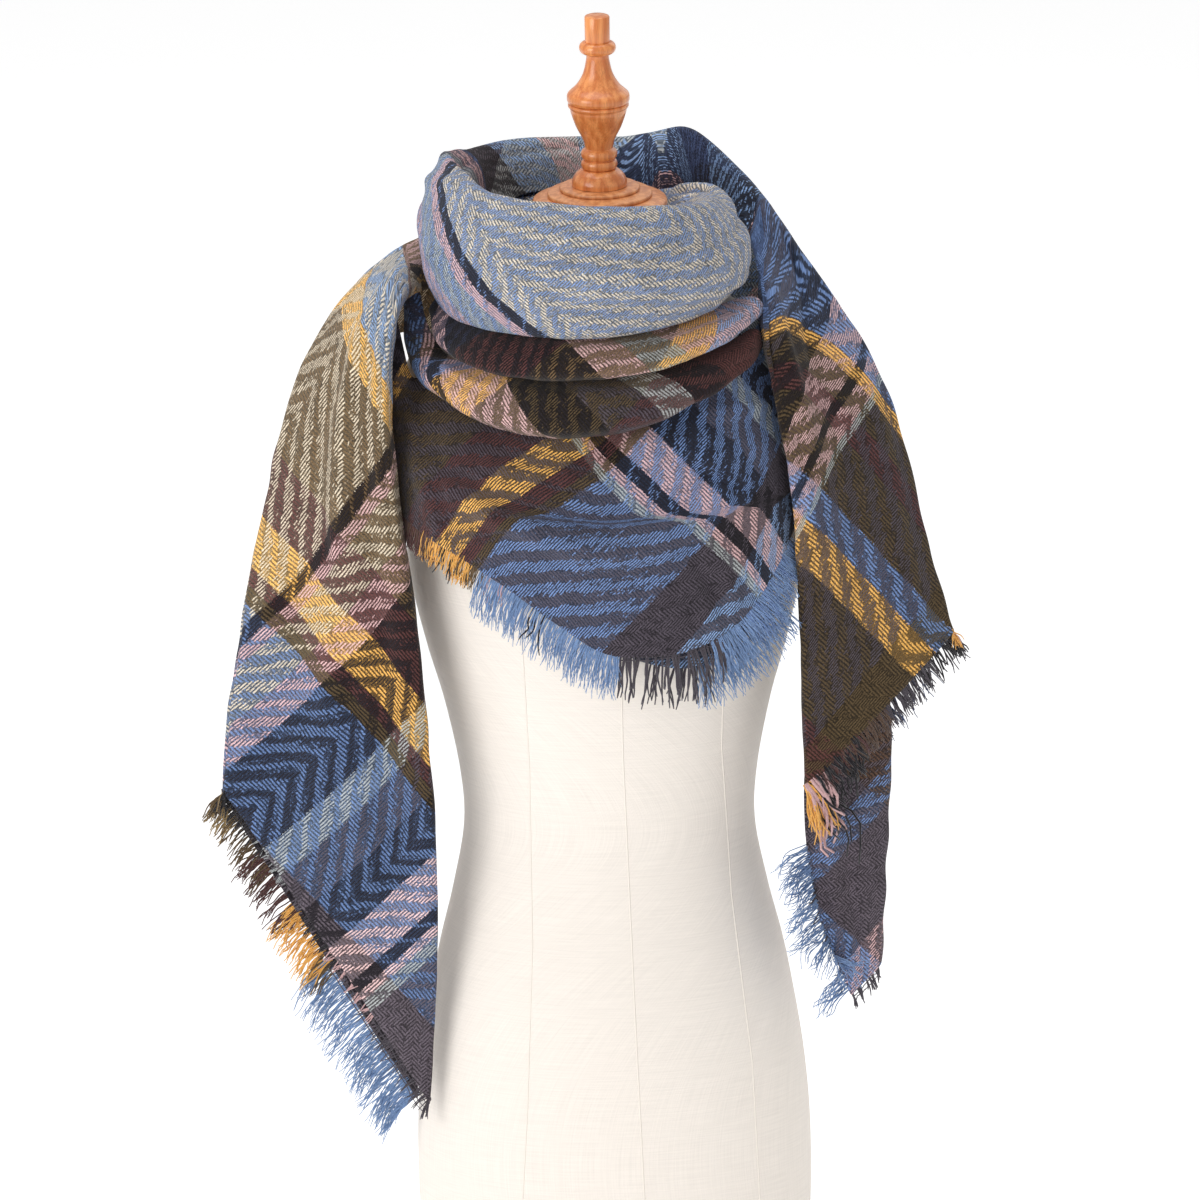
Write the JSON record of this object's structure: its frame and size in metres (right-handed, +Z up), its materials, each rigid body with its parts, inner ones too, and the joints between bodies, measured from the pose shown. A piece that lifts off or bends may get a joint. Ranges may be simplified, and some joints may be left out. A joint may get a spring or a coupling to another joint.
{
  "type": "blanket scarf on a dress form",
  "caption": "Square plaid blanket scarf with self fringe, wound round the neck in a cowl with two hanging tails, standing on a limbless linen dress form with a turned wood finial.",
  "frame": {"origin": "centre of the dress form's flat base, on the axis of its neck and finial", "axes": "+Z up along the form's axis, -Y out of the chest (the wearer's front), +X towards the viewer's right"},
  "size_m": [0.573, 0.2772, 0.9602],
  "materials": {
    "blue": "brushed",
    "olive": "brushed",
    "slate": "brushed",
    "linen": "matte",
    "wood": "satin"
  },
  "bodies": {
    "root": {"cowl": "blue", "back_wrap": "blue", "nape_wrap": "olive", "left_tail": "olive", "right_tail": "slate", "right_tail_under": "slate", "swag_upper": "olive", "swag_lower": "olive", "bib": "slate", "bib_under": "slate", "form_body": "linen", "form_neck_cap": "wood", "form_finial": "wood", "left_tail_fringe": "slate", "left_tail_back_fringe": "slate", "right_tail_fringe": "slate", "right_tail_back_fringe": "slate", "right_under_fringe": "slate", "bib_left_fringe": "slate", "bib_right_fringe": "slate", "bib_under_fringe": "slate"}
  },
  "joints": []
}
